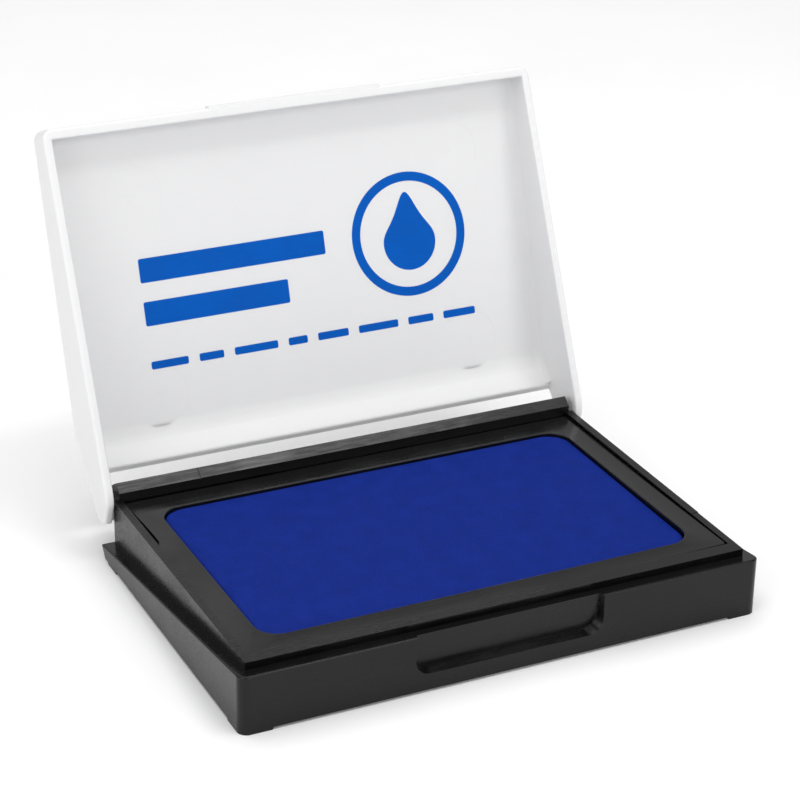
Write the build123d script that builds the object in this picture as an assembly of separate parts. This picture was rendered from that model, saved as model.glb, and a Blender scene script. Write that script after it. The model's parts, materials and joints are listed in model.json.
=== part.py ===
"""Hinged ink pad: wedge casing, insert frame, cloth-covered felt and a lifting lid.

Millimetres, +Z up, +Y towards the hinge. The origin is the centre of the casing's
footprint on the table. The lid is drawn closed and then turned to its open stop.
"""
from build123d import *
import math
import os

# ---- driving dimensions -------------------------------------------------
CASE_WIDTH = 100.0
CASE_DEPTH = 67.4
LEDGE_FRONT = 11.1          # height of the casing's outer ledge at the front
LEDGE_BACK = 2.6            # and at the back, so the parting line is steep
RIM_TOP = 12.2              # top of the raised inner rim
FRAME_TOP = 11.6            # top of the insert frame
OPENING_WIDTH = 83.7        # window through which the cloth shows
OPENING_DEPTH = 49.8
OPENING_FRONT = 9.56        # from the casing's front face to the window
LID_TOP = 17.9              # outer height of the closed lid
KINK = 58.5                 # from the front face to where the lid's top turns down
OPEN_ANGLE = 107.4          # from closed to the open stop, degrees
PIVOT_BACK = 69.8           # hinge axis, from the casing's front face
PIVOT_HEIGHT = 9.31
SEAM_WIDTH = 0.2            # of the fine grooves where mould parts meet
SEAM_DEPTH = 0.15

# ---- casing -------------------------------------------------------------
FOOT_HEIGHT = 0.5
FOOT_LENGTH = 5.8
BACK_UNDERCUT = 1.7         # the back face leans forward towards the table
CORNER_RADIUS = 1.8         # of the casing's and the feet's upright corners
LEDGE_EDGE = 0.3            # rounding of the ledge's outer edge
SIDE_LEDGE = 1.95           # ledge width outside the raised rim, at the sides
FRONT_LEDGE = 2.7
SIDE_RIM = 1.5              # thickness of the raised rim at the sides
FRONT_RIM = 2.75
RIM_TAIL = 0.55             # how far the side rims run back beside the hinge bar
MISMATCH = 0.15             # step where two halves of the mould meet on the right rim
MISMATCH_BACK = 18.0        # its distance behind the front face
POCKET_FLOOR = 9.5          # step the frame rests on
STEP_WIDTH = 1.55
TRAY_FLOOR = 2.6
UNDERSIDE_DEPTH = 0.5
UNDERSIDE_WALL = 2.0
RIB_THICKNESS = 1.2
MIDDLE_PAD_RADIUS = 6.0     # round pad that keeps the floor from bowing under a stamp
RECESS_WIDTH = 36.2         # thumb recess in the front wall
RECESS_BOTTOM = 3.6
RECESS_DEPTH = 1.0          # at the ledge
RECESS_LEAN = 6.0           # degrees by which its back grows deeper downwards
RECESS_BORDER = 0.6         # width of its sloping sides
RECESS_RADIUS = 2.8

# ---- hinge bar ----------------------------------------------------------
BAR_FRONT = 65.0            # from the casing's front face
BAR_SHOULDER = 13.6         # height where its front face meets the chamfer
CREST_BACK = 66.7
CREST_TOP = 15.0
BAR_END_GAP = 2.94          # from the casing's side to the bar's end
WEB_BACK = 68.0
SEAM_ACROSS = -31.1         # mould seam across the bar's chamfer
BARREL_RADIUS = 3.2
PIN_RADIUS = 1.5
PIN_CLEARANCE = 0.06
PIN_REACH = 3.4
HOLE_DEPTH = 2.6
STOP_INNER = 1.9            # radial span of the stop lug and of the stop rib
STOP_OUTER = 3.1
STOP_SPAN = 22.0            # degrees covered by each
STOP_AIR = 0.4              # degrees left between them at the open stop
LUG_START = 60.0            # where the casing's lug begins, degrees from +Y
STOP_SIDE_AIR = 0.25

# ---- insert frame and pad ----------------------------------------------
FIT_AIR = 0.1               # between the frame and its pocket
OPENING_RADIUS = 4.5
CLOTH_THICKNESS = 0.5
CLOTH_TOP = 11.05
CLOTH_AIR = 0.25            # between the cloth and the window's edge
CLAMPED_EDGE = 2.45         # how far the pad reaches under the frame
FELT_SHOULDER = 9.0
PAD_CORNER = 2.0
BOARD_THICKNESS = 1.0

# ---- lid ----------------------------------------------------------------
LID_SIDE_WALL = 1.65
LID_FRONT_WALL = 2.0
LID_PLATE = 1.7
FRONT_LEAN = 0.4            # how far the closed lid's front wall leans back
SIDE_DRAFT = 0.0186         # lean of its sides, per unit of height above the ledge
SEAT_AIR = 0.12             # between the closed lid's rim and the ledge
SLOPE = 0.60                # fall of the lid's rear facet per unit of depth
EAR_START = 68.4            # where the ear's lower edge turns up from the ledge's slope
EAR_TIP = 72.8
EAR_TIP_BOTTOM = 6.0
EAR_RADIUS = 5.0
TIP_RADIUS = 0.9
HINGE_SWEEP = 6.75          # the lid is cut away to this radius round the pivot
LID_CORNER = 2.0
LID_EDGE = 0.6              # rounding of its outer edges
RIM_EDGE = 0.3              # rounding of the rim's inner edge
INNER_CREASE = 1.5          # rounding between the lid's panel and its walls
KINK_RADIUS = 6.0           # of the crease across the inside, at the kink
LID_END_RADIUS = 0.5        # rounding of the plate's end above the hinge bar
LIP_WIDTH = 35.0
LIP_PROUD = 0.3
LIP_HEIGHT = 1.8
EJECTOR_RADIUS = 6.0        # shallow round marks inside the lid
EJECTOR_DOT = 0.45
EJECTOR_DEPTH = 0.04
EJECTOR_ACROSS = 33.0
EJECTOR_FRONT = 14.8        # rows of marks, from the casing's front face
EJECTOR_BACK = 52.4

HALF_WIDTH = CASE_WIDTH / 2
RIM_HALF = HALF_WIDTH - SIDE_LEDGE
POCKET_HALF = RIM_HALF - SIDE_RIM
POCKET_FRONT = FRONT_LEDGE + FRONT_RIM
CAVITY_HALF = POCKET_HALF - STEP_WIDTH
CAVITY_FRONT = POCKET_FRONT + STEP_WIDTH
CAVITY_BACK = BAR_FRONT - STEP_WIDTH
BAR_HALF = HALF_WIDTH - BAR_END_GAP
EAR_INNER = HALF_WIDTH - LID_SIDE_WALL
OPENING_CENTRE = OPENING_FRONT + OPENING_DEPTH / 2
BOARD_TOP = TRAY_FLOOR + BOARD_THICKNESS


def from_front(distance):
    """Y coordinate of a point this far behind the casing's front face."""
    return distance - CASE_DEPTH / 2


PIVOT = (from_front(PIVOT_BACK), PIVOT_HEIGHT)


def ledge_height(distance):
    """Height of the sloping ledge this far behind the front face."""
    return LEDGE_FRONT + (LEDGE_BACK - LEDGE_FRONT) * distance / CASE_DEPTH


def outline(points):
    """Closed face from (distance behind the front, height) points."""
    corners = [(from_front(back), height) for back, height in points]
    return make_face(Polyline(*corners, close=True))


def prism(face, x_from, x_to):
    """Extrude a side-view face across the width."""
    return extrude(Plane.YZ.offset(x_from) * face, x_to - x_from)


def block(half_width, front, back, bottom, top):
    """Box centred on the width, placed by its front, back, bottom and top."""
    centre = Location((0, from_front((front + back) / 2), (bottom + top) / 2))
    return centre * Box(2 * half_width, back - front, top - bottom)


def round_plate(width, depth, radius, bottom, top):
    """Plate with rounded corners, centred on the window."""
    face = RectangleRounded(width, depth, radius)
    return Location((0, from_front(OPENING_CENTRE), bottom)) * extrude(face, top - bottom)


def both_sides(piece):
    """A feature on the right-hand side, with its mirror image."""
    return piece + mirror(piece, Plane.YZ)


def sector(first_angle, inner, outer):
    """Side-view face of a stop, between two radii round the pivot."""
    angles = (first_angle, first_angle + STOP_SPAN)
    ring = [(inner, angles[0]), (outer, angles[0]), (outer, angles[1]), (inner, angles[1])]
    corners = [
        (PIVOT[0] + r * math.cos(math.radians(a)), PIVOT[1] + r * math.sin(math.radians(a)))
        for r, a in ring
    ]
    return make_face(Polyline(*corners, close=True))


def thumb_recess():
    """Shallow drafted recess, open at the top, to be cut from the front wall."""
    height = 2 * (LEDGE_FRONT - RECESS_BOTTOM)
    outer = RectangleRounded(RECESS_WIDTH, height, RECESS_RADIUS)
    inner = RectangleRounded(RECESS_WIDTH - 2 * RECESS_BORDER, height - 2 * RECESS_BORDER,
                             RECESS_RADIUS - RECESS_BORDER / 2)
    lean = math.radians(RECESS_LEAN)
    mouth = Plane((0, from_front(0), LEDGE_FRONT), (1, 0, 0), (0, -1, 0))
    back = Plane((0, from_front(RECESS_DEPTH), LEDGE_FRONT), (1, 0, 0),
                 (0, -math.cos(lean), -math.sin(lean)))
    return loft([mouth * outer, back * inner])


def mould_seam():
    """Fine groove across the bar's chamfer."""
    slant = math.degrees(math.atan2(CREST_TOP - BAR_SHOULDER, CREST_BACK - BAR_FRONT))
    length = math.hypot(CREST_TOP - BAR_SHOULDER, CREST_BACK - BAR_FRONT)
    middle = from_front((BAR_FRONT + CREST_BACK) / 2)
    place = Location((SEAM_ACROSS, middle, (BAR_SHOULDER + CREST_TOP) / 2))
    return place * Rot(slant, 0, 0) * Box(SEAM_WIDTH, 2 * length, 2 * SEAM_DEPTH)


def hinge_bar():
    """Chamfered bar with a barrel behind it and a web down to the casing."""
    to_crest = math.atan2(CREST_TOP - PIVOT_HEIGHT, CREST_BACK - PIVOT_BACK)
    reach = math.hypot(CREST_TOP - PIVOT_HEIGHT, CREST_BACK - PIVOT_BACK)
    tangent = to_crest - math.acos(BARREL_RADIUS / reach)
    touch = (PIVOT_BACK + BARREL_RADIUS * math.cos(tangent),
             PIVOT_HEIGHT + BARREL_RADIUS * math.sin(tangent))
    section = outline([
        (BAR_FRONT, TRAY_FLOOR), (BAR_FRONT, BAR_SHOULDER), (CREST_BACK, CREST_TOP), touch,
        (PIVOT_BACK, PIVOT_HEIGHT), (WEB_BACK, PIVOT_HEIGHT), (WEB_BACK, TRAY_FLOOR),
    ])
    section += Location((*PIVOT, 0)) * Circle(BARREL_RADIUS)
    bar = prism(section, -BAR_HALF, BAR_HALF)
    hole = Location((BAR_HALF - HOLE_DEPTH, *PIVOT)) * Rot(0, 90, 0) * Cylinder(
        PIN_RADIUS + PIN_CLEARANCE, 2 * HOLE_DEPTH,
        align=(Align.CENTER, Align.CENTER, Align.MIN))
    lug = prism(sector(LUG_START, STOP_INNER, STOP_OUTER), BAR_HALF, EAR_INNER - STOP_SIDE_AIR)
    return bar - both_sides(hole) - mould_seam() + both_sides(lug)


def rim_mismatch():
    """Narrower front stretch of the right rim, with a fine groove where it begins."""
    narrowed = prism(outline([
        (FRONT_LEDGE, ledge_height(FRONT_LEDGE)), (FRONT_LEDGE, 2 * RIM_TOP),
        (MISMATCH_BACK, 2 * RIM_TOP), (MISMATCH_BACK, ledge_height(MISMATCH_BACK)),
    ]), RIM_HALF - MISMATCH, HALF_WIDTH)
    middle = Location(((POCKET_HALF + RIM_HALF) / 2, from_front(MISMATCH_BACK), RIM_TOP))
    return narrowed + middle * Box(2 * SIDE_RIM, SEAM_WIDTH, 2 * SEAM_DEPTH)


def feet():
    """Four low corner pads and a round middle pad that the casing stands on."""
    back = CASE_DEPTH - BACK_UNDERCUT
    across = HALF_WIDTH - FOOT_LENGTH / 2
    places = [
        (side * across, from_front(end))
        for side in (-1, 1)
        for end in (FOOT_LENGTH / 2, back - FOOT_LENGTH / 2)
    ]
    pads = Location((0, 0, FOOT_HEIGHT)) * Cylinder(MIDDLE_PAD_RADIUS, 2 * FOOT_HEIGHT)
    for x, y in places:
        pads += Location((x, y, FOOT_HEIGHT)) * Box(FOOT_LENGTH, FOOT_LENGTH, 2 * FOOT_HEIGHT)
    footprint = Location((0, -BACK_UNDERCUT / 2)) * RectangleRounded(CASE_WIDTH, back, CORNER_RADIUS)
    return pads & extrude(footprint, 2 * FOOT_HEIGHT)


def underside_cut():
    """Shallow hollow under the floor, crossed by stiffening ribs."""
    top = FOOT_HEIGHT + UNDERSIDE_DEPTH
    back = CASE_DEPTH - BACK_UNDERCUT - UNDERSIDE_WALL
    hollow = block(HALF_WIDTH - UNDERSIDE_WALL, UNDERSIDE_WALL, back, 0, top)
    for part in (-1, 0, 1):
        across = part * CASE_WIDTH / 4
        hollow -= Location((across, 0, 0)) * Box(RIB_THICKNESS, CASE_DEPTH, 2 * top)
    return hollow - Box(CASE_WIDTH, RIB_THICKNESS, 2 * top)


def ledge_edges(wedge):
    """Front and side edges of the wedge's sloping top."""
    top = wedge.faces().sort_by(Axis.Z)[-1]
    back = top.edges().sort_by(Axis.Y)[-1]
    return [edge for edge in top.edges() if edge != back]


def base_tray():
    """Wedge casing with ledge, raised rim, pad cavity, thumb recess and hinge bar."""
    wedge = prism(outline([
        (0, FOOT_HEIGHT), (0, LEDGE_FRONT), (CASE_DEPTH, LEDGE_BACK),
        (CASE_DEPTH - BACK_UNDERCUT, FOOT_HEIGHT),
    ]), -HALF_WIDTH, HALF_WIDTH)
    wedge = fillet(wedge.edges().filter_by(Axis.Z), CORNER_RADIUS)
    wedge = fillet(ledge_edges(wedge), LEDGE_EDGE)
    rim = block(RIM_HALF, FRONT_LEDGE, BAR_FRONT + RIM_TAIL, FOOT_HEIGHT + UNDERSIDE_DEPTH,
                RIM_TOP)
    tray = wedge - underside_cut() + rim + feet() + hinge_bar()
    tray -= block(POCKET_HALF, POCKET_FRONT, BAR_FRONT, POCKET_FLOOR, CREST_TOP)
    tray -= block(CAVITY_HALF, CAVITY_FRONT, CAVITY_BACK, TRAY_FLOOR, CREST_TOP)
    return tray - rim_mismatch() - thumb_recess()


def pad_frame():
    """Flat insert frame that drops into the rim and clamps the pad's edges."""
    plate = block(POCKET_HALF - FIT_AIR, POCKET_FRONT + FIT_AIR, BAR_FRONT - FIT_AIR,
                  POCKET_FLOOR, FRAME_TOP)
    plate = fillet(plate.edges().group_by(Axis.Z)[-1], 0.3)
    window = round_plate(OPENING_WIDTH, OPENING_DEPTH, OPENING_RADIUS, 0, 2 * FRAME_TOP)
    return plate - window


def stepped_pad(inset, bottom, shoulder, top):
    """Pad form: a wide clamped lower block and a crown that fills the window."""
    wide = OPENING_WIDTH + 2 * (CLAMPED_EDGE - inset)
    deep = OPENING_DEPTH + 2 * (CLAMPED_EDGE - inset)
    shrink = 2 * (CLOTH_AIR + inset)
    lower = round_plate(wide, deep, PAD_CORNER, bottom, shoulder)
    crown = round_plate(OPENING_WIDTH - shrink, OPENING_DEPTH - shrink,
                        OPENING_RADIUS - CLOTH_AIR, bottom, top)
    return lower + crown


def felt_core():
    """Ink-holding felt."""
    return stepped_pad(CLOTH_THICKNESS, BOARD_TOP, FELT_SHOULDER, CLOTH_TOP - CLOTH_THICKNESS)


def ink_cloth():
    """Cloth drawn over the felt's top and down its sides."""
    return stepped_pad(0, BOARD_TOP, FELT_SHOULDER + CLOTH_THICKNESS, CLOTH_TOP) - felt_core()


def backing_board():
    """Stiff board under the felt."""
    wide = OPENING_WIDTH + 2 * CLAMPED_EDGE
    deep = OPENING_DEPTH + 2 * CLAMPED_EDGE
    return round_plate(wide, deep, PAD_CORNER, TRAY_FLOOR, BOARD_TOP)


def facet_height(distance):
    """Outer height of the closed lid behind its kink."""
    return LID_TOP - SLOPE * (distance - KINK)


def parting_height(distance):
    """Height of the closed lid's rim this far behind the front face."""
    return ledge_height(distance) + SEAT_AIR


def drafted_sides():
    """Long wedge-sided bar that follows the ledge and leans the lid's sides inwards."""
    overrun, below, above = 5, 10, 30
    level = ledge_height(-overrun)
    section = make_face(Polyline(
        (-HALF_WIDTH - SIDE_DRAFT * below, level - below),
        (HALF_WIDTH + SIDE_DRAFT * below, level - below),
        (HALF_WIDTH - SIDE_DRAFT * above, level + above),
        (-HALF_WIDTH + SIDE_DRAFT * above, level + above), close=True))
    slope = (LEDGE_BACK - LEDGE_FRONT) / CASE_DEPTH
    plane = Plane.XZ.offset(CASE_DEPTH / 2 + overrun)
    return extrude(plane * section, 2 * CASE_DEPTH, dir=(0, 1, slope))


def lid_shell():
    """Closed lid as a solid block, without its hollow and hinge features."""
    side_view = outline([
        (0, parting_height(0)), (FRONT_LEAN, LID_TOP), (KINK, LID_TOP),
        (EAR_TIP, facet_height(EAR_TIP)), (EAR_TIP, EAR_TIP_BOTTOM),
        (EAR_START, parting_height(EAR_START)),
    ])
    for distance, height, radius in ((EAR_START, parting_height(EAR_START), EAR_RADIUS),
                                     (EAR_TIP, EAR_TIP_BOTTOM, TIP_RADIUS)):
        corner = side_view.vertices().sort_by_distance((from_front(distance), height))[0]
        side_view = fillet(corner, radius)
    shell = prism(side_view, -HALF_WIDTH, HALF_WIDTH) & drafted_sides()
    front = shell.faces().sort_by(Axis.Y)[0]
    uprights = [edge for edge in front.edges() if abs(edge.center().X) > HALF_WIDTH - 1]
    shell = fillet(uprights, LID_CORNER)
    return fillet(shell.edges(), LID_EDGE)


def hollow_outline():
    """Side view of the lid's inside, open below."""
    fall = LID_PLATE * math.hypot(1, SLOPE)
    inner_kink = KINK + (fall - LID_PLATE) / SLOPE
    face = outline([
        (LID_FRONT_WALL, 0), (LID_FRONT_WALL, LID_TOP - LID_PLATE),
        (inner_kink, LID_TOP - LID_PLATE),
        (PIVOT_BACK, facet_height(PIVOT_BACK) - fall), (PIVOT_BACK, 0),
    ])
    kink = face.vertices().sort_by_distance((from_front(inner_kink), LID_TOP - LID_PLATE))[0]
    return fillet(kink, KINK_RADIUS)


def lid_hollow():
    """Inside of the closed lid, with soft creases where its panel meets the walls."""
    hollow = prism(hollow_outline(), -EAR_INNER, EAR_INNER)
    open_side = hollow.faces().sort_by(Axis.Z)[0]
    back = hollow.faces().sort_by(Axis.Y)[-1]
    plain = open_side.edges() + back.edges() + hollow.edges().filter_by(Axis.Z)
    creases = [edge for edge in hollow.edges() if edge not in plain]
    return fillet(creases, INNER_CREASE)


def hinge_clearance():
    """Space the bar needs round the pivot, with the plate's end rounded beside it."""
    circle = Location((*PIVOT, 0)) * Circle(HINGE_SWEEP)
    joined = hollow_outline() + circle
    meeting = [v for v in joined.vertices()
               if abs((Vector(v) - Vector(*PIVOT)).length - HINGE_SWEEP) < 0.01
               and v.Y > PIVOT_HEIGHT]
    joined = fillet(meeting, LID_END_RADIUS)
    near = Location((*PIVOT, 0)) * Circle(HINGE_SWEEP + LID_END_RADIUS)
    return prism(joined & near, -EAR_INNER, EAR_INNER)


def ejector_marks():
    """Four shallow round marks in the panel, each with a deeper dot in its middle."""
    panel = LID_TOP - LID_PLATE
    mark = Cylinder(EJECTOR_RADIUS, 2 * EJECTOR_DEPTH) + Cylinder(EJECTOR_DOT, 6 * EJECTOR_DEPTH)
    places = [
        Location((side * EJECTOR_ACROSS, from_front(row), panel))
        for side in (-1, 1)
        for row in (EJECTOR_FRONT, EJECTOR_BACK)
    ]
    return [place * mark for place in places]


def rim_edges(lid):
    """Inner edges of the lid's rim, where its walls meet the parting line."""
    edges = []
    for edge in lid.edges():
        middle = edge.center()
        level = parting_height(middle.Y + CASE_DEPTH / 2)
        if abs(middle.Z - level) < 0.01 and abs(middle.X) <= EAR_INNER + 0.01:
            edges.append(edge)
    return edges


def lid_closed():
    """Shallow lid with two ears, inward pins and stop ribs, over the casing."""
    lid = lid_shell() - lid_hollow() - hinge_clearance()
    lid = fillet(rim_edges(lid), RIM_EDGE) - ejector_marks()
    lip = block(LIP_WIDTH / 2, -LIP_PROUD, LID_FRONT_WALL / 2, parting_height(0),
                parting_height(0) + LIP_HEIGHT)
    pin = Location((EAR_INNER - PIN_REACH, *PIVOT)) * Rot(0, 90, 0) * Cylinder(
        PIN_RADIUS, PIN_REACH + LID_SIDE_WALL / 2,
        align=(Align.CENTER, Align.CENTER, Align.MIN))
    rib_angle = LUG_START + STOP_SPAN + STOP_AIR + OPEN_ANGLE
    rib = prism(sector(rib_angle, STOP_INNER, STOP_OUTER), BAR_HALF + STOP_SIDE_AIR,
                EAR_INNER + LID_SIDE_WALL / 2)
    return lid + lip + both_sides(pin) + both_sides(rib)


def lid():
    """Lid turned back to its open stop."""
    hinge = Axis((0, *PIVOT), (1, 0, 0))
    return lid_closed().rotate(hinge, -OPEN_ANGLE)


def main():
    os.makedirs("parts", exist_ok=True)
    for make in (base_tray, pad_frame, ink_cloth, felt_core, backing_board, lid):
        export_step(make(), f"parts/{make.__name__}.step")


main()
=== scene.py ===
"""Looks of the hinged ink pad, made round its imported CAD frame. Metres, +Z up."""
import json
import math

import bmesh
import bpy
import numpy as np
from mathutils import Matrix, Vector


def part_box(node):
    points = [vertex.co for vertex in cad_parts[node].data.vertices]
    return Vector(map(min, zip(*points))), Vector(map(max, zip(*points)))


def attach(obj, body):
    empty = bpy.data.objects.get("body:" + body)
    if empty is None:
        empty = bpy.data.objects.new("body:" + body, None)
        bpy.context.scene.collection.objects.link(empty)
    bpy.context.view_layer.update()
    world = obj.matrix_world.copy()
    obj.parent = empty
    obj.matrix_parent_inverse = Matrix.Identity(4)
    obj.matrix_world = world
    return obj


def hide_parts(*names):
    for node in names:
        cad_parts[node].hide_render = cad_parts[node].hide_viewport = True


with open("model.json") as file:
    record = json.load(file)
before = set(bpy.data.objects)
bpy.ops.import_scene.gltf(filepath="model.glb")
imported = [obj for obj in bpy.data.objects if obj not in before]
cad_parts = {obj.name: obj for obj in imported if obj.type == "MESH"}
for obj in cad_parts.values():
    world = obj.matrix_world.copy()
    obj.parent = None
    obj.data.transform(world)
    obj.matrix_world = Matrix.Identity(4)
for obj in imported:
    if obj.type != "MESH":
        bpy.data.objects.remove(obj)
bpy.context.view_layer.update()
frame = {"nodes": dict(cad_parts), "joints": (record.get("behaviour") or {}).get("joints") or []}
nodes = frame["nodes"]
hinge = frame["joints"][0]

MM = 0.001
PLASTIC_IOR = 1.37
PALEST_WEAR = 0.74              # albedo that worn edges never pass
WEAR_RADIUS = 0.22              # mm from an edge that wear reaches
WEAR_PATCH = 1.4                # mm across a patch of wear
CLOUD = 9                       # mm across the soft clouds in a moulding's tone
FLOW_LINE = 0.5                 # mm across its flow streaks
DUST = 0.45                     # mm across a speck of dust
MILKY_DEPTH = 2.5 * MM          # how deep light enters the milky plastic


# ---- node materials -----------------------------------------------------
class Graph:
    """A material's nodes, with short calls to add and join them."""

    def __init__(self, name, **settings):
        self.material = bpy.data.materials.new(name)
        self.material.use_nodes = True
        self.tree = self.material.node_tree
        self.shader = self.tree.nodes["Principled BSDF"]
        for socket, value in settings.items():
            self.shader.inputs[socket.replace("_", " ")].default_value = value
        self.place = self.add("ShaderNodeTexCoord").outputs["Object"]

    def add(self, kind, inputs=(), **settings):
        node = self.tree.nodes.new(kind)
        for key, value in settings.items():
            setattr(node, key, value)
        for socket, value in dict(inputs).items():
            self.feed(node.inputs[socket], value)
        return node

    def feed(self, socket, value):
        if isinstance(value, bpy.types.NodeSocket):
            self.tree.links.new(value, socket)
        else:
            socket.default_value = value

    def math(self, operation, first, second=0.0):
        return self.add("ShaderNodeMath", {0: first, 1: second}, operation=operation).outputs[0]

    def noise(self, size_mm, detail=2.0, stretch=(1, 1, 1), roughness=0.5):
        """Noise whose blobs are about size_mm across, drawn out along the axes by stretch."""
        where = self.add("ShaderNodeMapping", {"Vector": self.place,
                                               "Scale": [1 / s for s in stretch]})
        return self.add("ShaderNodeTexNoise", {
            "Vector": where.outputs[0], "Scale": 1 / (size_mm * MM), "Detail": detail,
            "Roughness": roughness}).outputs["Fac"]

    def remap(self, value, low, high, start=0.3, end=0.7):
        """Value from start..end to low..high."""
        return self.add("ShaderNodeMapRange", {
            "Value": value, "From Min": start, "From Max": end,
            "To Min": low, "To Max": high}).outputs[0]

    def ramp(self, value, colours):
        """Colours over 0..1, as (place, rgb) pairs."""
        node = self.add("ShaderNodeValToRGB", {"Fac": value})
        steps = node.color_ramp.elements
        while len(steps) < len(colours):
            steps.new(0.5)
        for step, (place, rgb) in zip(steps, colours):
            step.position = place
            step.color = (*rgb, 1)
        return node.outputs[0]

    def bump(self, height, depth_mm, normal=None):
        node = self.add("ShaderNodeBump", {"Height": height, "Strength": 1.0,
                                           "Distance": depth_mm * MM})
        if normal is not None:
            self.feed(node.inputs["Normal"], normal)
        return node.outputs[0]

    def edge_wear(self, radius_mm):
        """Near 1 along sharp edges and 0 on flat faces."""
        rounded = self.add("ShaderNodeBevel", {"Radius": radius_mm * MM}, samples=6)
        flat = self.add("ShaderNodeNewGeometry").outputs["Normal"]
        facing = self.add("ShaderNodeVectorMath", {0: rounded.outputs[0], 1: flat},
                          operation="DOT_PRODUCT").outputs["Value"]
        return self.remap(facing, 1.0, 0.0, 0.8, 0.995)


def grey(level):
    return (level, level, level)


def moulded_plastic(name, dark, light, roughness, grain_mm, grain_depth, streak, specks,
                    milky=0.0, gloss=0.5):
    """Moulded plastic: fine grain, flow streaks across the width, specks and worn edges."""
    g = Graph(name, IOR=PLASTIC_IOR, Specular_IOR_Level=gloss)
    cloud = g.noise(CLOUD, detail=3)
    streaks = g.noise(FLOW_LINE, detail=3, stretch=(streak, 1, 1))
    tone = g.math("ADD", g.math("MULTIPLY", cloud, 0.6), g.math("MULTIPLY", streaks, 0.4))
    base = g.ramp(tone, [(0.35, dark), (0.65, light)])
    dust = g.remap(g.noise(DUST, detail=1), 0.0, 1.0, *specks)
    patches = g.remap(g.noise(WEAR_PATCH), 0.35, 1.0)
    worn = g.math("MULTIPLY", g.edge_wear(WEAR_RADIUS), patches)
    pale = tuple(min(PALEST_WEAR, 2.2 * c + 0.006) for c in light)
    mixed = g.add("ShaderNodeMix", {"Factor": g.math("MAXIMUM", dust, worn), "A": base,
                                    "B": (*pale, 1)}, data_type="RGBA")
    g.feed(g.shader.inputs["Base Color"], mixed.outputs["Result"])
    rough = g.math("ADD", g.remap(cloud, -0.05, 0.05), g.remap(streaks, -0.06, 0.06))
    g.feed(g.shader.inputs["Roughness"], g.math("ADD", rough, roughness))
    if milky:
        g.shader.inputs["Subsurface Weight"].default_value = milky
        g.shader.inputs["Subsurface Radius"].default_value = (1, 1, 1)
        g.shader.inputs["Subsurface Scale"].default_value = MILKY_DEPTH
    grain = g.bump(g.noise(grain_mm, detail=2), grain_depth)
    g.feed(g.shader.inputs["Normal"], g.bump(streaks, grain_depth * 0.8, grain))
    return g.material


def weave_height(g, thread_mm):
    """Height of a plain weave: threads pass over and under each other in turn."""
    split = g.add("ShaderNodeSeparateXYZ", {0: g.place})
    across = [g.math("DIVIDE", split.outputs[axis], thread_mm * MM) for axis in ("X", "Y")]
    cells = [g.math("FLOOR", place) for place in across]
    humps = [g.math("SINE", g.math("MULTIPLY", g.math("FRACT", place), math.pi))
             for place in across]
    over = g.math("FLOORED_MODULO", g.math("ADD", *cells), 2.0)
    warp = g.math("MULTIPLY", humps[0], g.math("ADD", g.math("MULTIPLY", humps[1], 0.5), 0.5))
    weft = g.math("MULTIPLY", humps[1], g.math("ADD", g.math("MULTIPLY", humps[0], 0.5), 0.5))
    return g.add("ShaderNodeMix", {"Factor": over, "A": warp, "B": weft}).outputs["Result"]


INK_BLOTCH = 4                  # mm across the blotches of thicker ink
FIBRE = 0.35                    # mm across the cloth's fibres
SOFT_WAVE = 2.5                 # mm across its soft waves


def inked_fabric(name, dark, light, thread_mm, depth_mm, roughness):
    """Ink-soaked cloth: fine weave, blotches where the ink lies thicker, faint fibres."""
    g = Graph(name, IOR=1.4)
    g.shader.inputs["Specular IOR Level"].default_value = 0.02
    blotch = g.noise(INK_BLOTCH, detail=5, roughness=0.65)
    fibres = g.noise(FIBRE, detail=3, stretch=(3, 1, 1))
    weave = weave_height(g, thread_mm)
    tone = g.math("ADD", g.math("MULTIPLY", blotch, 0.55), g.math("MULTIPLY", fibres, 0.25))
    tone = g.math("ADD", tone, g.math("MULTIPLY", weave, 0.2))
    g.feed(g.shader.inputs["Base Color"], g.ramp(tone, [(0.36, dark), (0.68, light)]))
    g.feed(g.shader.inputs["Roughness"], g.remap(blotch, roughness - 0.08, roughness + 0.08))
    soft = g.bump(g.noise(SOFT_WAVE, detail=2), 0.05)
    g.feed(g.shader.inputs["Normal"], g.bump(weave, depth_mm, soft))
    return g.material


black_case = moulded_plastic("black_case", grey(0.0012), grey(0.0025), 0.25, 0.22, 0.004,
                             streak=10, specks=(0.80, 0.84))
black_frame = moulded_plastic("black_frame", grey(0.004), grey(0.007), 0.17, 0.18, 0.002,
                              streak=60, specks=(0.80, 0.84))
white_lid = moulded_plastic("white_lid", grey(0.745), grey(0.76), 0.38, 0.3,
                            0.001, streak=8, specks=(0.97, 0.99), milky=0.5)
blue_print = moulded_plastic("blue_print", (0.0, 0.086, 0.42), (0.0, 0.1, 0.48), 0.5, 0.3,
                             0.002, streak=4, specks=(0.97, 0.99), gloss=0.1)
grey_board = moulded_plastic("grey_board", (0.36, 0.35, 0.33), (0.46, 0.45, 0.43), 0.8, 0.3,
                             0.02, streak=12, specks=(0.76, 0.82))
cloth_blue = inked_fabric("cloth_blue", (0.005, 0.019, 0.18), (0.010, 0.029, 0.255), 0.34,
                          0.04, 0.5)
felt_blue = inked_fabric("felt_blue", (0.005, 0.014, 0.14), (0.011, 0.028, 0.25), 0.9, 0.06,
                         0.8)


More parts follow.
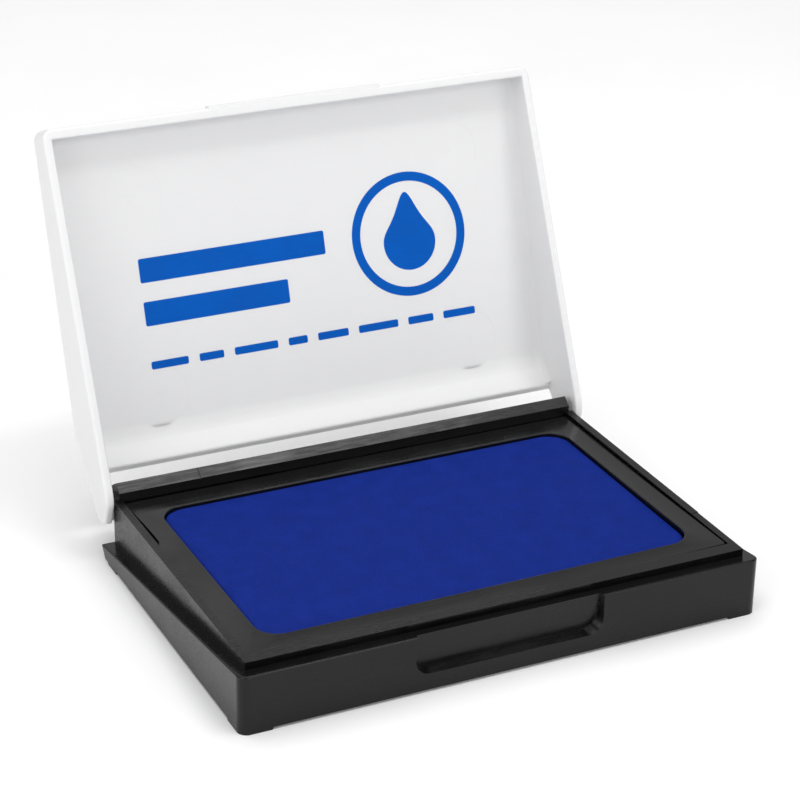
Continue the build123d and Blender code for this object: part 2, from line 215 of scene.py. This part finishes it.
# ---- rounded rectangles in plan ----------------------------------------
def rounded_loop(centre, half_x, half_y, radius, straight=24, arc=8):
    """Points round a rounded rectangle, with the same count for any size."""
    points = []
    turns = [(1, 1, 0), (-1, 1, 90), (-1, -1, 180), (1, -1, 270)]
    for sx, sy, start in turns:
        for step in range(arc + 1):
            angle = math.radians(start + 90 * step / arc)
            points.append((centre[0] + sx * (half_x - radius) + radius * math.cos(angle),
                           centre[1] + sy * (half_y - radius) + radius * math.sin(angle)))
        nx, ny, begin = turns[(turns.index((sx, sy, start)) + 1) % 4]
        angle = math.radians(begin)
        end = (centre[0] + nx * (half_x - radius) + radius * math.cos(angle),
               centre[1] + ny * (half_y - radius) + radius * math.sin(angle))
        last = points[-1]
        for step in range(1, straight):
            share = step / straight
            points.append((last[0] + (end[0] - last[0]) * share,
                           last[1] + (end[1] - last[1]) * share))
    return points


def mesh_piece(name, verts, faces, material, smooth=True):
    mesh = bpy.data.meshes.new(name)
    mesh.from_pydata(verts, [], faces)
    mesh.materials.append(material)
    mesh.update()
    if smooth:
        mesh.shade_smooth()
    piece = bpy.data.objects.new(name, mesh)
    bpy.context.scene.collection.objects.link(piece)
    return piece


def closed_ring(rows):
    """Quads round a ring of closed loops whose last loop joins the first."""
    count = len(rows[0])
    faces = []
    for row in range(len(rows)):
        following = (row + 1) % len(rows)
        for i in range(count):
            j = (i + 1) % count
            faces.append((row * count + i, row * count + j,
                          following * count + j, following * count + i))
    return faces


# ---- insert frame -------------------------------------------------------
frame_low, frame_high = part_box("pad_frame")
cloth_low, cloth_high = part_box("ink_cloth")
core_low, core_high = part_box("felt_core")

WINDOW_SIZE = (83.7 * MM, 49.8 * MM)
WINDOW_RADIUS = 4.5 * MM
FRAME_CORNER = 0.5 * MM
FRAME_EDGE = 0.28 * MM          # rounding of its outer edges
WINDOW_EDGE = 0.2 * MM          # rounding of the window's edge
EDGE_HOLD = 0.08 * MM           # flat strip beside each rounding, so it shades crisply
FRAME_BOW = 0.2 * MM            # how far the felt lifts the window's edge
FRAME_RISE = 0.45 * MM          # how far the front right corner stands up
FRAME_THICKNESS = 1.7 * MM
LEFT_SLIT = 0.72 * MM           # widest gaps added between the frame and its pocket
FRONT_SLIT = 0.4 * MM
BACK_SLIT = 0.2 * MM
OUTLINE = 0.97                  # share of the half size beyond which a point is on the edge
LEFT_SLIT_STARTS, LEFT_SLIT_WIDEST, LEFT_SLIT_ENDS = 0.38, 0.45, 1.3
FRONT_SLIT_STARTS, FRONT_SLIT_WIDEST = 0.4, 1.0
BACK_SLIT_STARTS, BACK_SLIT_WIDEST = -0.33, -0.36
STRAIGHT_STEPS = 80             # points along each straight side
ROUNDING_STEPS = 5              # along each rounding in the frame's section
BOW_SHARES = (0.15, 0.35, 0.55, 0.72, 0.86)     # shares of its width where the bow is drawn

pad_centre = ((cloth_low.x + cloth_high.x) / 2, (cloth_low.y + cloth_high.y) / 2)
frame_centre = ((frame_low.x + frame_high.x) / 2, (frame_low.y + frame_high.y) / 2)
frame_half = ((frame_high.x - frame_low.x) / 2, (frame_high.y - frame_low.y) / 2)
window_half = (WINDOW_SIZE[0] / 2, WINDOW_SIZE[1] / 2)


def shares(x, y):
    """Place on the frame, from -1 to 1 across and from -1 to 1 towards the hinge."""
    return ((x - frame_centre[0]) / frame_half[0], (y - frame_centre[1]) / frame_half[1])


def rise(x, y):
    """Height of the slightly warped frame, which stands up at its front right corner."""
    across, along = shares(x, y)
    return FRAME_RISE * ((1 + across) * (1 - along) / 4) ** 2


def smooth_step(value, start, end):
    """From 0 at start to 1 at end, level at both; start may lie above end."""
    share = min(1.0, max(0.0, (value - start) / (end - start)))
    return share * share * (3 - 2 * share)


def drawn_in(x, y):
    """Outer outline with the slits where the frame stands off its pocket."""
    across, along = shares(x, y)
    if across < -OUTLINE:
        opening = smooth_step(along, LEFT_SLIT_STARTS, LEFT_SLIT_WIDEST)
        x += LEFT_SLIT * opening * smooth_step(along, LEFT_SLIT_ENDS, LEFT_SLIT_WIDEST)
    if along < -OUTLINE:
        y += FRONT_SLIT * smooth_step(across, FRONT_SLIT_STARTS, FRONT_SLIT_WIDEST)
    if along > OUTLINE:
        y -= BACK_SLIT * smooth_step(across, BACK_SLIT_STARTS, BACK_SLIT_WIDEST)
    return x, y


def insert_frame():
    """Ring whose section runs from its outer edge over the bowed top to the window."""
    top = frame_high.z
    outline = rounded_loop(frame_centre, *frame_half, FRAME_CORNER, STRAIGHT_STEPS)
    outer = [drawn_in(x, y) for x, y in outline]
    inner = rounded_loop(pad_centre, *window_half, WINDOW_RADIUS, STRAIGHT_STEPS)
    arc = [math.radians(90 / ROUNDING_STEPS * step) for step in range(ROUNDING_STEPS + 1)]
    profile = [(0.0, 0.0, -FRAME_THICKNESS)]
    profile += [(0.0, FRAME_EDGE * (1 - math.cos(angle)), -FRAME_EDGE * (1 - math.sin(angle)))
                for angle in arc]
    profile.append((0.0, FRAME_EDGE + EDGE_HOLD, 0.0))
    profile += [(share, 0.0, FRAME_BOW * share ** 2) for share in BOW_SHARES]
    profile.append((1.0, -WINDOW_EDGE - EDGE_HOLD, FRAME_BOW))
    profile += [(1.0, -WINDOW_EDGE * (1 - math.sin(angle)),
                 FRAME_BOW - WINDOW_EDGE * (1 - math.cos(angle))) for angle in arc]
    profile.append((1.0, 0.0, -FRAME_THICKNESS))
    rows = []
    for share, offset, lift in profile:
        row = []
        for (ox, oy), (ix, iy) in zip(outer, inner):
            span = Vector((ix - ox, iy - oy))
            step = share * span + offset * span.normalized()
            x, y = ox + step.x, oy + step.y
            row.append((x, y, top + lift + rise(x, y)))
        rows.append(row)
    verts = [point for row in rows for point in row]
    piece = mesh_piece("insert_frame", verts, closed_ring(rows), black_frame)
    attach(piece, "casing")
    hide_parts("pad_frame")
    return piece


# ---- felt and cloth -----------------------------------------------------
CLOTH_THICKNESS = 0.5 * MM
CLOTH_AIR = 0.08 * MM           # between the cloth and the window's edge
CROWN = 0.3 * MM                # most that the felt's push may dome the cloth
SWELL = 0.3 * MM                # how far the wet pad stands above its CAD block
SHOULDER = 9.5 * MM             # height of the cloth where the frame clamps it
GRID = 0.8 * MM                 # mesh size of the cloth and the felt
CLOTH_MASS = 0.2
THREAD_STIFFNESS = 30
FELT_PRESSURE = 3
SETTLE_FRAMES = 20


def window_distance(x, y, shrink):
    """Distance outside the window's rounded outline drawn in by shrink, and the way out."""
    half_x, half_y = window_half[0] - shrink, window_half[1] - shrink
    radius = WINDOW_RADIUS - shrink
    dx, dy = x - pad_centre[0], y - pad_centre[1]
    qx, qy = abs(dx) - (half_x - radius), abs(dy) - (half_y - radius)
    if qx > 0 or qy > 0:
        way = Vector((math.copysign(max(qx, 0.0), dx), math.copysign(max(qy, 0.0), dy)))
        return way.length - radius, way.normalized()
    if qx > qy:
        return qx - radius, Vector((math.copysign(1.0, dx), 0))
    return qy - radius, Vector((0, math.copysign(1.0, dy)))


def skirt(distance, top, clamp, bottom, reach):
    """Plan offset and height along a sheet that drops, runs under the frame and drops again."""
    fall = top - clamp
    if distance <= 0:
        return distance, top
    if distance <= fall:
        return 0.0, top - distance
    if distance <= fall + reach:
        return distance - fall, clamp
    return reach, max(bottom, clamp - (distance - fall - reach))


def draped_grid(name, inset, top, clamp, bottom, material):
    """Flat grid folded down over the pad: the piece, its clamped points and its flat size."""
    shrink = CLOTH_AIR + inset
    reach = (cloth_high.x - cloth_low.x) / 2 - inset - (window_half[0] - shrink)
    length = (top - clamp) + reach + (clamp - bottom)
    half_x, half_y = window_half[0] - shrink + length, window_half[1] - shrink + length
    across, along = round(2 * half_x / GRID), round(2 * half_y / GRID)
    verts, index, clamped = [], {}, []
    for i in range(across + 1):
        for j in range(along + 1):
            x = pad_centre[0] - half_x + 2 * half_x * i / across
            y = pad_centre[1] - half_y + 2 * half_y * j / along
            distance, way = window_distance(x, y, shrink)
            if distance > length + GRID / 2:
                continue
            offset, height = skirt(distance, top, clamp, bottom, reach)
            index[i, j] = len(verts)
            if distance > -GRID / 2:
                clamped.append(len(verts))
            verts.append((x + way.x * (offset - distance), y + way.y * (offset - distance),
                          height))
    faces = []
    for i, j in index:
        corners = [(i, j), (i + 1, j), (i + 1, j + 1), (i, j + 1)]
        if all(corner in index for corner in corners):
            faces.append([index[corner] for corner in corners])
    return mesh_piece(name, verts, faces, material), clamped, (2 * half_x, 2 * half_y)


def relax_cloth(piece, clamped):
    """The felt's push swells the free part: point places before and after it settles."""
    flat = np.array([v.co for v in piece.data.vertices])
    group = piece.vertex_groups.new(name="clamped")
    group.add(clamped, 1.0, "REPLACE")
    cloth = piece.modifiers.new("stretch", "CLOTH")
    cloth.settings.vertex_group_mass = "clamped"
    cloth.settings.quality = 6
    cloth.settings.mass = CLOTH_MASS
    cloth.settings.tension_stiffness = THREAD_STIFFNESS
    cloth.settings.compression_stiffness = THREAD_STIFFNESS
    cloth.settings.use_pressure = True
    cloth.settings.uniform_pressure_force = FELT_PRESSURE
    cloth.settings.effector_weights.gravity = 0
    cloth.point_cache.frame_start = 1
    cloth.point_cache.frame_end = SETTLE_FRAMES
    scene = bpy.context.scene
    for step in range(1, SETTLE_FRAMES + 1):
        scene.frame_set(step)
    deps = bpy.context.evaluated_depsgraph_get()
    swollen = piece.evaluated_get(deps)
    shape = np.array([v.co for v in swollen.data.vertices])
    piece.modifiers.remove(cloth)
    scene.frame_set(1)
    return flat, shape


def inked_cloth():
    piece, clamped, flat_size = draped_grid(
        "inked_cloth", 0.0, cloth_high.z + SWELL, SHOULDER, core_low.z, cloth_blue)
    flat, shape = relax_cloth(piece, clamped)
    swelling = np.clip(shape[:, 2] - flat[:, 2], 0, None)
    if swelling.max() > 0:
        swelling *= min(1.0, CROWN / swelling.max())
    for vertex, lift in zip(piece.data.vertices, swelling):
        vertex.co.z += lift
    soften = piece.modifiers.new("soften", "SUBSURF")
    soften.levels = 1
    soften.render_levels = 1
    thicken = piece.modifiers.new("thicken", "SOLIDIFY")
    thicken.thickness = CLOTH_THICKNESS
    thicken.offset = -1
    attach(piece, "casing")
    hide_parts("ink_cloth")
    return piece


def inked_felt():
    piece, _, _ = draped_grid("inked_felt", CLOTH_THICKNESS, core_high.z + SWELL,
                              SHOULDER - CLOTH_THICKNESS, core_low.z, felt_blue)
    mesh = bmesh.new()
    mesh.from_mesh(piece.data)
    rim = [edge for edge in mesh.edges if edge.is_boundary]
    bmesh.ops.holes_fill(mesh, edges=rim, sides=0)
    bmesh.ops.recalc_face_normals(mesh, faces=mesh.faces)
    mesh.to_mesh(piece.data)
    mesh.free()
    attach(piece, "casing")
    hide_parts("felt_core")
    return piece


# ---- lid ----------------------------------------------------------------
LID_PLATE = 1.7 * MM
PRINT_THICKNESS = 0.03 * MM

# The print, in mm from the middle of the lid's front edge as seen with the lid open.
PRINT_LEFT, PRINT_RIGHT = -33.5, 35.0
RING_CENTRE = (22.5, -30.0)
RING_OUTER, RING_INNER = 12.2, 10.4
DROP_CENTRE, DROP_RADIUS = (22.5, -31.5), 5.6
LONG_BAR_END, LONG_BAR_HEIGHT = 4.5, -29.0
SHORT_BAR_END, SHORT_BAR_HEIGHT = -4.0, -37.2
BAR_THICKNESS = 4.6
DASH_HEIGHT, DASH_THICKNESS = -47.0, 1.5
DASH_LENGTHS = (7.5, 5.0, 9.0, 4.0, 6.5, 8.5, 5.5, 7.0)

pivot = Vector(hinge["pos_m"])
turn = Matrix.Rotation(-math.radians(hinge["range_deg"][1]), 4, Vector(hinge["axis"]))
opened = Matrix.Translation(pivot) @ turn @ Matrix.Translation(-pivot)
closed_lid = [opened.inverted() @ v.co for v in nodes["lid"].data.vertices]
lid_front = min(p.y for p in closed_lid)
lid_top = max(p.z for p in closed_lid)
panel = lid_top - LID_PLATE


def disc(x, y, radius, count=72):
    return [(x + radius * math.cos(2 * math.pi * i / count),
             y + radius * math.sin(2 * math.pi * i / count)) for i in range(count)]


def bar(left, right, y, height, round_end=0.35):
    return rounded_loop(((left + right) / 2, y), (right - left) / 2, height / 2,
                        round_end, straight=2, arc=4)


def drop(x, y, radius, count=60):
    """Teardrop with its point up: a circle whose upper part draws in to a tip."""
    points = []
    for i in range(count):
        angle = 2 * math.pi * i / count
        reach = radius * (1 + 0.75 * max(0.0, math.sin(angle)) ** 6)
        width = radius * math.cos(angle) * (1 - 0.25 * max(0.0, math.sin(angle)) ** 2)
        points.append((x + width, y + reach * math.sin(angle)))
    return points


def printed_motif():
    """Plain geometric print on the lid's inner panel, drawn as seen with the lid open."""
    loops = [
        disc(*RING_CENTRE, RING_OUTER),
        disc(*RING_CENTRE, RING_INNER),
        drop(*DROP_CENTRE, DROP_RADIUS),
        bar(PRINT_LEFT, LONG_BAR_END, LONG_BAR_HEIGHT, BAR_THICKNESS),
        bar(PRINT_LEFT, SHORT_BAR_END, SHORT_BAR_HEIGHT, BAR_THICKNESS),
    ]
    gap = (PRINT_RIGHT - PRINT_LEFT - sum(DASH_LENGTHS)) / (len(DASH_LENGTHS) - 1)
    start = PRINT_LEFT
    for length in DASH_LENGTHS:
        loops.append(bar(start, start + length, DASH_HEIGHT, DASH_THICKNESS))
        start += length + gap
    curve = bpy.data.curves.new("lid_print", "CURVE")
    curve.dimensions = "2D"
    curve.fill_mode = "BOTH"
    curve.extrude = PRINT_THICKNESS / 2 / MM
    for loop in loops:
        spline = curve.splines.new("POLY")
        spline.points.add(len(loop) - 1)
        for point, (x, y) in zip(spline.points, loop):
            point.co = (x, y, 0, 1)
        spline.use_cyclic_u = True
    drawn = bpy.data.objects.new("print_outline", curve)
    mesh = bpy.data.meshes.new_from_object(drawn)
    bpy.data.objects.remove(drawn)
    onto_panel = (opened @ Matrix.Translation((0, lid_front, panel - PRINT_THICKNESS / 2))
                  @ Matrix.Rotation(math.pi, 4, "X") @ Matrix.Scale(MM, 4))
    mesh.transform(onto_panel)
    mesh.name = "lid_print"
    mesh.materials.clear()
    mesh.materials.append(blue_print)
    piece = bpy.data.objects.new("lid_print", mesh)
    bpy.context.scene.collection.objects.link(piece)
    piece.visible_glossy = False
    piece.visible_diffuse = False
    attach(piece, "cover")
    return piece


# ---- carried-over CAD nodes ---------------------------------------------
SHARP_EDGE = 35                 # degrees of turn from which an edge is rounded


def finish_node(name, material, edge_mm=0):
    """Gives a carried-over node its material and, where edge_mm is set, rounded edges."""
    node = nodes[name]
    for slot in node.material_slots:
        slot.material = material
    if not edge_mm:
        return
    rounding = node.modifiers.new("edge", "BEVEL")
    rounding.width = edge_mm * MM
    rounding.segments = 3
    rounding.limit_method = "ANGLE"
    rounding.angle_limit = math.radians(SHARP_EDGE)
    rounding.use_clamp_overlap = True
    rounding.harden_normals = True


# ---- studio -------------------------------------------------------------
AIM = (0.01159, 0.03494, 0.02)
DISTANCE = 0.48315
AZIMUTH, ELEVATION, ROLL = 26.10, 25.118, 1.03
LENS, SENSOR = 112.93, 36.0
FLOOR_HALF = 4.0
DAYLIGHT = 0.54                 # even light from all round


def camera():
    data = bpy.data.cameras.new("camera")
    data.lens = LENS
    data.sensor_width = SENSOR
    data.clip_start = 0.01
    made = bpy.data.objects.new("camera", data)
    bpy.context.scene.collection.objects.link(made)
    facing = (Matrix.Rotation(-math.radians(AZIMUTH), 4, "Z")
              @ Matrix.Rotation(math.radians(90 - ELEVATION), 4, "X")
              @ Matrix.Rotation(math.radians(ROLL), 4, "Z"))
    made.matrix_world = Matrix.Translation(AIM) @ facing @ Matrix.Translation((0, 0, DISTANCE))
    bpy.context.scene.camera = made


def softbox(name, place, aim, size, power):
    data = bpy.data.lights.new(name, "AREA")
    data.shape = "RECTANGLE"
    data.size, data.size_y = size
    data.energy = power
    made = bpy.data.objects.new(name, data)
    bpy.context.scene.collection.objects.link(made)
    made.location = place
    made.rotation_euler = (Vector(aim) - Vector(place)).to_track_quat("-Z", "Y").to_euler()


def studio():
    world = bpy.data.worlds.new("studio")
    bpy.context.scene.world = world
    world.use_nodes = True
    background = world.node_tree.nodes["Background"]
    background.inputs["Color"].default_value = (1, 1, 1, 1)
    background.inputs["Strength"].default_value = DAYLIGHT
    softbox("top_softbox", (-0.05, 0.08, 0.85), (-0.05, 0.08, 0), (0.85, 0.85), 3.25)
    softbox("bar_softbox", (0.25, -0.22, 0.82), (0.25, -0.22, 0), (0.40, 0.12), 1.05)
    softbox("front_softbox", (0.3, -1.3, 0.5), (0, 0, 0.03), (1.2, 0.8), 5.25)
    softbox("left_softbox", (-1.1, -0.4, 0.45), (0, 0, 0.03), (1.0, 0.8), 4.0)
    paper = Graph("floor_paper", Roughness=0.9)
    paper.feed(paper.shader.inputs["Base Color"],
               paper.ramp(paper.noise(40, detail=3), [(0.3, grey(0.96)), (0.7, grey(0.98))]))
    corners = [(x * FLOOR_HALF, y * FLOOR_HALF, 0)
               for x, y in ((-1, -1), (1, -1), (1, 1), (-1, 1))]
    floor = mesh_piece("floor", corners, [(0, 1, 2, 3)], paper.material, False)
    bpy.context.scene.view_settings.view_transform = "Standard"


camera()
studio()
finish_node("base_tray", black_case, 0.15)
finish_node("backing_board", grey_board, 0.1)
finish_node("lid", white_lid)
insert_frame()
inked_felt()
inked_cloth()
printed_motif()
